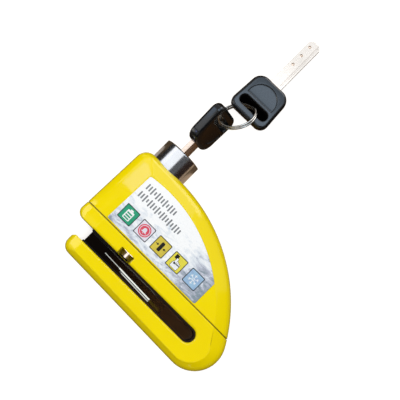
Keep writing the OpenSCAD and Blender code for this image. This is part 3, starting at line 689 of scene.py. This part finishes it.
    def build(self) -> None:
        """Makes the film and its print and seats them in the recess."""
        rings = []
        for inset, depth in ((0.0, self.film), (0.0, 0.1), (0.03, 0.03), (0.1, 0.0)):
            rings.append([(x, y, self.face_z - depth) for x, y in self.outline(inset)])
        film = loft("label_film", rings, LABEL_FILM)
        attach(film, "lock")
        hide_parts("front_label")
        grounds = (Ink.GREEN, Ink.PAPER, Ink.OCHRE, Ink.LEMON, Ink.SKY)
        pictures = (self.battery, self.bell, self.pin_gauge, self.pushing_hand, self.frost)
        for x, ground, picture in zip(self.tile_x, grounds, pictures):
            low, high = (x, self.tile_y), (x + self.tile, self.tile_y + self.tile)
            b = self.border
            inner = round_box((low[0] + b, low[1] + b), (high[0] - b, high[1] - b), 0.4)
            self.lay(round_box(low, high, 0.6), Ink.BORDER, 2, hole=inner)
            self.lay(inner, ground, 2)
            picture((x + self.tile / 2, self.tile_y + self.tile / 2))
        # Two rows of sound bars fill the upper field.
        for x0, count, y in ((-18.6, 12, 42.6), (-19.0, 17, 36.7)):
            for step in range(count):
                x = x0 + self.bar_pitch * step
                half = self.bar_half * (0.4 + 0.6 * abs(math.sin(1.9 * step + 0.7)))
                self.lay(round_box((x, y - half), (x + self.bar_wide, y + half), 0.3), Ink.GREY, 1)
        inks = [ink.finish().build() for ink in Ink]
        layers = mesh_object("label_print", self.points, self.faces, inks, self.inks)
        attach(layers, "lock")
        LOG.info("built label_film and label_print with %d patches", len(self.faces))


@dataclass(frozen=True)
class KeyPlace:
    """Where a key lies: its turns in degrees about a point, and how far along the key its bow starts."""

    centre: Spot
    turns: tuple[tuple[str, float], ...]
    start: float = 0.0

    def matrix(self) -> Matrix:
        """Gives the place of the bow.

        Returns:
            Matrix in metres.
        """
        made = Matrix.Translation(Vector(self.centre) * MM)
        for axis, angle in self.turns:
            made = made @ Matrix.Rotation(math.radians(angle), 4, axis)
        return made @ Matrix.Translation(Vector((0.0, self.start, 0.0)) * MM)


IN_PLUG = KeyPlace((-17.2, 0.0, 0.0), (("Y", -115.0),), 79.1)
ON_TABLE = KeyPlace((-8.03, 135.38, -11.24), (("Z", 0.4), ("X", -7.8), ("Y", -4.0), ("Z", 180.0)))


@dataclass
class KeyBow:
    """Moulded bow of one key, with a ring loop, a thumb dish on each face and a softly rounded rim."""

    name: str
    node: str
    body: str
    place: KeyPlace
    width: float = 26.0
    length: float = 26.0
    thick: float = 6.4
    corner_r: float = 6.6
    end_r: float = 5.0
    taper: float = 0.9
    rim: float = 1.9
    loop_y: float = 18.5
    loop_r: float = 2.9
    loop_half: float = 9.8
    loop_flare: float = 0.7
    dish_y: float = 12.5
    dish_r: float = 9.3
    dish_top: float = 14.0
    dish_depth: float = 0.5
    tang: Spot = (6.0, 11.0, 2.6)

    def discs(self) -> list[Spot]:
        """Discs whose common hull is the outline of the bow.

        Returns:
            Middle and radius of each disc.
        """
        half, r, end = self.width / 2, self.corner_r, self.end_r
        return [(s * x, y, size) for s in (-1, 1) for x, y, size in (
            (half - self.taper - r, r, r), (half - end, self.length - end, end))]

    def shell(self) -> Piece:
        """Solid of the bow before it is cut.

        Returns:
            Closed object with a rounded rim.
        """
        steps, half = 7, self.thick / 2
        turns = [90 * i / steps for i in range(steps + 1)]
        edge = [(self.rim * (1 - math.cos(math.radians(a))),
                 half - self.rim + self.rim * math.sin(math.radians(a))) for a in turns]
        levels = [(inset, -z) for inset, z in edge[::-1]] + edge
        return loft(self.name, [[(x, y, z) for x, y in hull_of_discs(self.discs(), inset, 96)]
                                for inset, z in levels], SATIN_ABS)

    def loop(self) -> Piece:
        """Cutter of the ring loop, flared at both faces.

        Returns:
            Closed object.
        """
        reach = self.loop_half - self.loop_r
        ends = [(-reach, self.loop_y, self.loop_r), (reach, self.loop_y, self.loop_r)]
        half, flare = self.thick / 2, self.loop_flare
        edge = [(0.0, half - flare)] + [
            (flare * (1 - math.cos(math.radians(a))), half - flare + flare * math.sin(math.radians(a)))
            for a in (22.5, 45, 67.5, 85)] + [(flare, half + 1)]
        levels = [(-g, -z) for g, z in edge[::-1]] + [(-g, z) for g, z in edge]
        return loft("loop_cutter", [[(x, y, z) for x, y in hull_of_discs(ends, inset, 48)]
                                    for inset, z in levels], SATIN_ABS)

    def dish(self, side: int) -> Piece:
        """Cutter of the thumb dish on one face.

        Args:
            side: 1 for the upper face, -1 for the lower one.

        Returns:
            Closed object with sloped walls.
        """
        rise = math.degrees(math.asin((self.dish_top - self.dish_y) / self.dish_r))
        floor = self.thick / 2 - self.dish_depth
        rings = []
        for shrink, z in ((0.9, floor), (0.35, floor + 0.12), (0.0, self.thick / 2), (0.0, self.thick)):
            outline = arc((0.0, self.dish_y), self.dish_r - shrink, -180 - rise, rise, 40)
            rings.append([(x, min(y, self.dish_top - shrink), side * z) for x, y in outline])
        return loft("dish_cutter", rings if side > 0 else rings[::-1], SATIN_ABS)

    def pocket(self) -> Piece:
        """Cutter of the pocket that holds the blade's tang.

        Returns:
            Closed object.
        """
        wide, deep, high = (self.tang[0] / 2 + 0.05, self.tang[1] + 0.05, self.tang[2] / 2 + 0.05)
        box = [(-wide, -1.0), (wide, -1.0), (wide, deep), (-wide, deep)]
        return loft("pocket_cutter", [[(x, y, z) for x, y in box] for z in (-high, high)], SATIN_ABS)

    def build(self) -> None:
        """Makes the bow and seats it on its blade."""
        bow = self.shell()
        carve(bow, [self.loop(), self.dish(1), self.dish(-1), self.pocket()])
        bow.data.transform(self.place.matrix())
        soften(bow, 34.0)
        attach(bow, self.body)
        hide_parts(self.node)
        LOG.info("built %s", self.name)


@dataclass
class SplitRing:
    """Key ring: one wire in two turns, its ends lying against the next turn."""

    centre: Spot = (-11.14, 107.44, -6.1)
    azimuth: float = 27.5
    tilt: float = 49.6
    dip: float = -2.0
    radius: float = 10.7
    wire: float = 1.1
    pitch: float = 1.54
    turns: int = 2
    steps: int = 72
    sides: int = 14

    def axes(self) -> tuple[Vector, Vector, Vector]:
        """Directions of the ring's plane and of its axis.

        Returns:
            Two directions across the ring's plane and one along its axis.
        """
        az, tilt, dip = (math.radians(a) for a in (self.azimuth, self.tilt, self.dip))
        first = Vector((math.sin(az) * math.cos(dip), math.cos(az) * math.cos(dip), math.sin(dip)))
        side = Vector((math.cos(az), -math.sin(az), 0.0))
        second = side * math.cos(tilt) + side.cross(first) * math.sin(tilt)
        return first, second, first.cross(second)

    def build(self) -> None:
        """Makes the wire and hangs it in the two bows."""
        first, second, along = self.axes()
        total, r = self.turns * self.steps, self.wire / 2
        rings = []
        for i in range(-3, total + 4):
            j = min(max(i, 0), total)
            past = abs(i - j) / 3
            turn = 2 * math.pi * j / self.steps
            out = first * math.cos(turn) + second * math.sin(turn)
            ahead = second * math.cos(turn) - first * math.sin(turn)
            rise = self.pitch * (j / self.steps - self.turns / 2)
            middle = Vector(self.centre) + out * self.radius + along * rise
            middle += ahead * (0.4 * r * past * (1 if i > j else -1))
            size = r * (1 - 0.45 * past ** 2)
            rings.append([tuple(middle + (out * math.cos(a) + along * math.sin(a)) * size)
                          for a in (2 * math.pi * k / self.sides for k in range(self.sides))])
        ring = loft("split_ring", [section[::-1] for section in rings], NICKEL_WIRE)
        soften(ring, 50.0)
        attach(ring, "ring")
        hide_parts("key_ring")
        LOG.info("built split_ring")


@dataclass
class ReturnSpring:
    """Compression spring behind the barrel, which in the lock shortens as the barrel is pushed in; the wire
    wound here keeps one length.
    """

    wire: float = 1.4
    turns: int = 7
    steps: int = 32
    sides: int = 10
    stroke: float = 11.6

    def build(self) -> None:
        """Winds the wire in the space of its solid."""
        low, high = [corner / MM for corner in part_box("return_spring")]
        middle = (low + high) / 2
        reach, rise = (high.x - low.x - self.wire) / 2, high.y - low.y - self.wire
        rings = []
        for i in range(self.turns * self.steps + 1):
            turn = 2 * math.pi * i / self.steps
            out = Vector((math.cos(turn), 0.0, math.sin(turn)))
            y = low.y + self.wire / 2 + rise * i / (self.turns * self.steps)
            at = Vector((middle.x, y, middle.z)) + out * reach
            rings.append([tuple(at + (out * math.cos(a) + Vector((0.0, math.sin(a), 0.0))) * self.wire / 2)
                          for a in (2 * math.pi * k / self.sides for k in range(self.sides))])
        spring = loft("wound_return_spring", rings, SPRING_STEEL)
        soften(spring, 50.0)
        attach(spring, "lock")
        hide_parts("return_spring")
        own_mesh(spring)


def bare_material(name: str) -> tuple[bpy.types.Material, Tree]:
    """Makes a material of the stage with an empty node tree.

    Args:
        name: Name of the material.

    Returns:
        The material and its node tree.
    """
    made = bpy.data.materials.new(name)
    made.use_nodes = True
    made.node_tree.nodes.clear()
    return made, made.node_tree


def panel(name: str, corners: Sequence[Sequence[float]], finish: bpy.types.Material) -> Piece:
    """Makes one flat piece of the stage.

    Args:
        name: Name of the panel.
        corners: Its four corners in millimetres.
        finish: Its material.

    Returns:
        The linked object.
    """
    made = mesh_object(name, corners, [[0, 1, 2, 3]], [finish])
    return made


@dataclass(frozen=True)
class Card:
    """A card beside the lock that only mirrors show.

    Its size is its width across Y and its length along Y, or along Z where it faces along Y. A level of 1
    shows its tone as written. Its turn is in its own plane, in degrees.
    """

    name: str
    centre: Spot
    facing: Spot
    size: Point
    tone: str
    level: float = 1.0
    turn: float = 0.0

    def corners(self) -> list[Vector]:
        """Works out the corners of the card.

        Returns:
            The four corners in millimetres.
        """
        middle = Vector(self.centre)
        look = (Vector(self.facing) - middle).normalized()
        side = Vector((0.0, 1.0, 0.0)) if abs(look.y) < 0.9 else Vector((0.0, 0.0, 1.0))
        wide = Matrix.Rotation(math.radians(self.turn), 3, look) @ side.cross(look).normalized()
        tall = look.cross(wide)
        return [middle + wide * (i * self.size[0] / 2) + tall * (j * self.size[1] / 2)
                for i, j in ((-1, -1), (1, -1), (1, 1), (-1, 1))]

    def build(self) -> None:
        """Stands the card in its place."""
        glow, tree = bare_material(self.name)
        light = add_node(tree, "Emission", {"Color": srgb(self.tone), "Strength": self.level})
        add_node(tree, "OutputMaterial", {0: light})
        made = panel(self.name, self.corners(), glow)
        for ray in ("camera", "diffuse", "transmission", "volume_scatter", "shadow"):
            setattr(made, f"visible_{ray}", False)


# The dim room with its windows, as the enamel, the blades and the first bow mirror it.
ROOM_CARDS = (
    Card("blade_window", (-132.0, 80.0, 96.0), (-18.0, 70.0, 0.0), (40.0, 22.0), "#FFFFFF", 1.6),
    Card("key_window", (-132.0, 110.0, 96.0), (-18.0, 92.0, 8.0), (34.0, 44.0), "#B8D0EC", 3.4),
    Card("right_wall", (420.0, 0.0, 150.0), (0.0, 0.0, 150.0), (500.0, 900.0), "#2A1E18"),
    Card("near_wall", (40.0, -420.0, 150.0), (40.0, 0.0, 150.0), (900.0, 500.0), "#2A1E18"),
    Card("tail_wall", (-300.0, 38.0, 125.0), (0.0, 38.0, 125.0), (330.0, 44.0), "#2A1E18"),
    Card("frame_window", (-69.0, 47.0, 56.0), (-24.0, 44.0, 16.0), (16.0, 18.0), "#A8B8FF", 4.5),
    Card("back_window", (-60.0, 900.0, 230.0), (-20.0, 50.0, 15.0), (520.0, 420.0), "#F4F8FF", 4.0),
    Card("tail_window", (-160.0, -9.0, 45.0), (-28.0, 2.0, 12.0), (90.0, 66.0), "#FFFDF4", 3.2),
    Card("dark_ceiling", (22.0, 25.0, 520.0), (22.0, 25.0, 0.0), (320.0, 290.0), "#1E1814"))
# Windows over the pin, the spare bow and the spare blade.
NEAR_CARDS = (
    Card("pin_glint", (0.3, 7.1, 9.5), (0.3, 7.1, 0.0), (6.0, 4.0), "#FFF2EE", 2.8),
    Card("spare_window", (-29.0, 162.3, 142.9), (-8.1, 113.5, 2.6), (150.0, 46.0), "#C8DCF0", 4.4),
    Card("spare_blade_window", (-29.0, 223.7, 121.4), (-8.1, 175.0, -18.9), (150.0, 84.0), "#C8DCF0", 1.9))


@dataclass
class MirrorCards:
    """All cards round the lock, which give plate, enamel and bows their dark and bright parts."""

    table_z: float = -17.54
    table_gap: float = 0.005
    face_z: float = 100.0
    barrel: Point = (-17.2, 75.0)
    tent_reach: float = 200.0
    tent_length: float = 54.0
    strip_turn: float = 1.8

    def tent(self) -> list[Card]:
        """Lists the cards round the barrel, for the stripes of its plate.

        Returns:
            The cards, each between two angles from straight up.
        """
        (x, y), reach = self.barrel, self.tent_reach
        cards = []
        for name, start, end, tone, level in (
                ("left_black_card", -100.0, -65.0, "#070606", 1.0),
                ("window_card", -65.0, 5.0, "#F8FBFF", 1.45),
                ("grey_card", 5.0, 41.0, "#4A4B4F", 1.0),
                ("brown_card", 41.0, 84.0, "#2B1C16", 1.0),
                ("right_tan_card", 84.0, 96.0, "#B3977C", 1.0)):
            turn, half = math.radians((start + end) / 2), math.radians((end - start) / 2)
            centre = (x + reach * math.sin(turn), y, reach * math.cos(turn))
            size = (2 * reach * math.tan(half), self.tent_length)
            cards.append(Card(name, centre, (x, y, 0.0), size, tone, level))
        return cards

    def table(self) -> list[Card]:
        """Lists the cards that lie on the table, with the brown table top below the others.

        Returns:
            The cards.
        """
        top = Card("table_card", (20.0, 40.0, self.table_z - self.table_gap), (20.0, 40.0, self.face_z),
                   (700.0, 700.0), "#54432F")
        return [top] + [Card(name, (x, y, self.table_z), (x, y, self.face_z), size, tone)
                        for name, (x, y), size, tone in (
            ("floor_black_card", (-146.2, 61.0), (142.0, 12.0), "#070606"),
            ("floor_grey_card", (-53.2, 61.0), (44.0, 12.0), "#B9ACA0"),
            ("floor_tan_card", (88.8, 61.0), (188.0, 12.0), "#B3977C"),
            ("key_table_card", (7.0, 94.5), (26.0, 27.0), "#5D3F21"),
            ("loop_table_card", (-7.0, 117.5), (34.0, 19.0), "#0A0705"),
            ("blade_table_card", (30.0, 74.0), (80.0, 14.0), "#5E4C3A"))]

    def strips(self) -> list[Card]:
        """Lists the strips over the slot, which the smooth card of painted shade under it mirrors as a streak
        of thin lines.

        Returns:
            The cards.
        """
        return [Card(f"{name}_slot_strip", (x, y, z), (x, y, 0.0), size, tone, level, self.strip_turn)
                for name, (x, y, z), size, tone, level in (
            ("thin", (9.0, 1.0, 121.0), (40.0, 0.5), "#F4F8F0", 2.0),
            ("upper", (15.5, 0.75, 120.0), (27.0, 0.8), "#F4F8F0", 3.6),
            ("lower", (17.0, -0.65, 120.0), (24.0, 0.6), "#F4F8F0", 2.4),
            ("middle", (16.0, 0.1, 122.0), (25.0, 1.9), "#9AA0A0", 1.2),
            ("tail", (33.0, -0.2, 122.0), (9.0, 1.7), "#5C5414", 0.9))]

    def build(self) -> None:
        """Stands every card in its place."""
        cards = [*self.tent(), *self.table(), *ROOM_CARDS, *self.strips(), *NEAR_CARDS]
        for card in cards:
            card.build()
        LOG.info("built %d mirror cards", len(cards))


@dataclass
class Studio:
    """White table, soft light and the camera above the lock."""

    aim: Spot = (7.4, 57.7, 17.5)
    distance: float = 1500.0
    lean: Spot = (0.0, -0.05, 1.0)
    up: Spot = (-1.0, 1.0, 0.0)
    lens: float = 242.7
    sensor: float = 36.0
    floor_z: float = -17.56
    floor_half: float = 1500.0
    table_white: float = 0.85
    # Where the table's glow is taken away as painted shade: in deep gaps, and under the bows' loops.
    gap_reach: float = 30.0
    lock_gap: Point = (0.1, 0.3)
    loop_reach: float = 11.0
    loop_gap: Point = (0.8, 0.97)
    loops: tuple[tuple[Point, Point], ...] = (((-17.5, 98.9), (4.4, 6.0)), ((-8.0, 117.8), (13.6, 6.0)))
    slot_x: Point = (-23.0, 62.0)
    slot_half: float = 9.0
    slot_lift: float = 0.03
    slot_mirror: float = 0.35
    dome: Point = (0.4, 1.6)
    dim_side: Spot = (0.707, -0.707, 0.0)
    dim_share: float = 0.85
    mirrored_dome: float = 0.5

    def camera(self) -> None:
        """Makes the camera with the slot running down to the right."""
        back = Vector(self.lean).normalized()
        right = Vector(self.up).normalized().cross(back).normalized()
        data = bpy.data.cameras.new("camera")
        data.lens = self.lens
        data.sensor_width = self.sensor
        data.clip_start = 0.01
        eye = bpy.data.objects.new("camera", data)
        turn = Matrix((right, back.cross(right), back)).transposed().to_4x4()
        eye.matrix_world = Matrix.Translation((Vector(self.aim) + back * self.distance) * MM) @ turn
        bpy.context.scene.collection.objects.link(eye)
        bpy.context.scene.camera = eye

    def mirrored(self, tree: Tree, path: bpy.types.Node) -> bpy.types.Node:
        """Tells rays that a mirror or a glass sends on.

        Args:
            tree: Node tree of the table or the world.
            path: Its light path node.

        Returns:
            Node that gives 1 for such a ray and 0 for others.
        """
        return add_node(tree, "Math", {
            0: path.outputs["Is Glossy Ray"], 1: path.outputs["Is Transmission Ray"]}, operation="MAXIMUM")

    def painted_loop_shade_mask(self, tree: Tree) -> bpy.types.Node:
        """Marks the places on the table that the camera sees through the bows' loops, where shade is painted.

        Args:
            tree: Node tree of the table's material.

        Returns:
            Node that gives 1 under a loop and 0 elsewhere.
        """
        where = add_node(tree, "TexCoord").outputs["Object"]
        marks = []
        for (x, y), (wide, long) in self.loops:
            spot = add_node(tree, "Mapping", {
                "Vector": where, "Location": (x * MM, y * MM, self.floor_z * MM),
                "Scale": (wide * MM, long * MM, MM)}, vector_type="TEXTURE")
            fade = add_node(tree, "TexGradient", {0: spot}, gradient_type="SPHERICAL")
            marks.append(add_node(tree, "MapRange", {"Value": fade.outputs[1], "From Max": 0.25}))
        return add_node(tree, "Math", {0: marks[0], 1: marks[1]}, operation="MAXIMUM")

    def floor(self) -> None:
        """Makes the white table, which keeps the shadow, with painted shade in the slot's gap and under the
        bows' loops.
        """
        paper, tree = bare_material("matt_white_paper_sweep")
        path = add_node(tree, "LightPath")
        seen = add_node(tree, "Math", {0: path.outputs["Is Camera Ray"], 1: self.mirrored(tree, path)},
                        operation="MAXIMUM")
        fibre = add_node(tree, "TexNoise", {"Scale": 900.0, "Detail": 2.0})
        fibres = add_node(tree, "ValToRGB", {0: fibre}, stops=[(0.3, "#A39C93"), (0.7, "#ABA49B")])
        # The white shows in the open. As painted shade, its glow is taken away in the deep gap of the slot,
        # and under a bow close above it.
        bare, near = [add_node(tree, "MapRange", {
            "Value": add_node(tree, "AmbientOcclusion", {"Distance": reach * MM}, samples=16).outputs["AO"],
            "From Min": low, "From Max": high}) for reach, (low, high) in (
                (self.gap_reach, self.lock_gap), (self.loop_reach, self.loop_gap))]
        deep = add_node(tree, "Math", {0: 1.0, 1: near}, operation="SUBTRACT")
        dark = add_node(tree, "Math", {0: deep, 1: self.painted_loop_shade_mask(tree)}, operation="MULTIPLY")
        clear = add_node(tree, "Math", {0: 1.0, 1: dark}, operation="SUBTRACT")
        pale = add_node(tree, "Math", {0: bare, 1: clear}, operation="MULTIPLY")
        level = add_node(tree, "Math", {0: pale, 1: seen}, operation="MULTIPLY")
        white = add_node(tree, "Math", {0: level, 1: self.table_white}, operation="MULTIPLY")
        # Painted shade: the table's colour turns near black under a loop.
        tone = add_node(tree, "Mix", {0: dark, 6: fibres, 7: srgb("#050403")}, data_type="RGBA")
        matt = add_node(tree, "BsdfDiffuse", {"Color": tone.outputs[2]})
        glow = add_node(tree, "Emission", {"Color": (1.0, 1.0, 1.0, 1.0), "Strength": white})
        add_node(tree, "OutputMaterial", {0: add_node(tree, "AddShader", {0: matt, 1: glow})})
        h = self.floor_half
        panel("paper_sweep", [(x, y, self.floor_z) for x, y in ((-h, -h), (h, -h), (h, h), (-h, h))], paper)

    def painted_slot_shade_card(self) -> None:
        """Lays a smooth card of painted shade under the slot, black at the open end and brown at the closed
        one, which stands in for the slot's shaded walls.
        """
        (x0, x1), half, z = self.slot_x, self.slot_half, self.floor_z + self.slot_lift
        film, tree = bare_material("painted_slot_shade_material")
        where = add_node(tree, "TexCoord").outputs["Object"]
        along = add_node(tree, "SeparateXYZ", {0: where})
        rise = add_node(tree, "MapRange", {"Value": along, "From Min": x0 * MM, "From Max": x1 * MM})
        # Painted shade: the card's tone rises from black at the open end to brown at the closed end.
        tone = add_node(tree, "ValToRGB", {0: rise}, stops=[
            (0.18, "#050403"), (0.45, "#5A3818"), (0.7, "#8E6038"), (0.95, "#A87848")])
        matt = add_node(tree, "BsdfDiffuse", {"Color": tone})
        mirror = add_node(tree, "BsdfGlossy", {"Roughness": 0.0})
        both = add_node(tree, "MixShader", {0: self.slot_mirror, 1: matt, 2: mirror})
        add_node(tree, "OutputMaterial", {0: both})
        panel("painted_slot_shade_card", [(x0, -half, z), (x1, -half, z), (x1, half, z), (x0, half, z)], film)

    def lamp(self, name: str, place: Spot, size: Point, power: float) -> None:
        """Makes one soft box that points at the lock.

        Args:
            name: Name of the lamp.
            place: Its middle in millimetres.
            size: Its two sides in millimetres.
            power: Its power in watts.
        """
        data = bpy.data.lights.new(name, "AREA")
        data.shape = "RECTANGLE"
        data.size, data.size_y = size[0] * MM, size[1] * MM
        data.energy = power
        lamp = bpy.data.objects.new(name, data)
        at = Vector(place) * MM
        lamp.location = at
        lamp.visible_glossy = False
        lamp.rotation_mode = "QUATERNION"
        lamp.rotation_quaternion = (Vector(self.aim) * MM - at).to_track_quat("-Z", "Y")
        bpy.context.scene.collection.objects.link(lamp)

    def world(self) -> None:
        """Makes a pale dome, brightest overhead, dimmer on the nose's side and white where it is seen."""
        made = bpy.data.worlds.new("studio_dome")
        bpy.context.scene.world = made
        made.use_nodes = True
        tree = made.node_tree
        path = add_node(tree, "LightPath")
        aim = add_node(tree, "TexCoord").outputs["Generated"]
        height = add_node(tree, "SeparateXYZ", {0: aim}).outputs[2]
        rise = add_node(tree, "MapRange", {"Value": height, "To Min": self.dome[0], "To Max": self.dome[1]})
        side = add_node(tree, "VectorMath", {0: aim, 1: self.dim_side}, operation="DOT_PRODUCT")
        share = add_node(tree, "MapRange", {
            "Value": side.outputs["Value"], "To Min": 1.0, "To Max": 1 - self.dim_share})
        plain = add_node(tree, "Math", {0: rise, 1: share}, operation="MULTIPLY")
        gloss = add_node(tree, "MapRange", {
            "Value": self.mirrored(tree, path), "To Min": plain, "To Max": self.mirrored_dome})
        level = add_node(tree, "MapRange", {
            "Value": path.outputs["Is Camera Ray"], "To Min": gloss, "To Max": 1.0})
        tree.links.new(level.outputs[0], tree.nodes["Background"].inputs["Strength"])
        tree.nodes["Background"].inputs["Color"].default_value = (1.0, 1.0, 1.0, 1.0)

    def build(self) -> None:
        """Makes the camera, the table, the dome and the lamps."""
        self.camera()
        self.floor()
        self.painted_slot_shade_card()
        self.world()
        self.lamp("top_box", (20.0, 560.0, 455.0), (320.0, 240.0), 0.1)
        self.lamp("tail_box", (-530.0, -10.0, 455.0), (240.0, 240.0), 0.08)
        LOG.info("built the studio")


def main() -> None:
    """Builds and dresses the sub-assemblies in order and notes the sizes."""
    logging.basicConfig(level=logging.INFO, format="%(name)s: %(message)s")
    bpy.context.scene.view_settings.view_transform = "Standard"
    Studio().build()
    MirrorCards().build()
    Castings().dress()
    Works().dress()
    FrontLabel().build()
    KeyBow("moulded_key_bow", "key_bow", "key", IN_PLUG).build()
    KeyBow("moulded_spare_bow", "spare_key_bow", "spare_key", ON_TABLE).build()
    SplitRing().build()
    ReturnSpring().build()


if __name__ == "__main__":
    main()
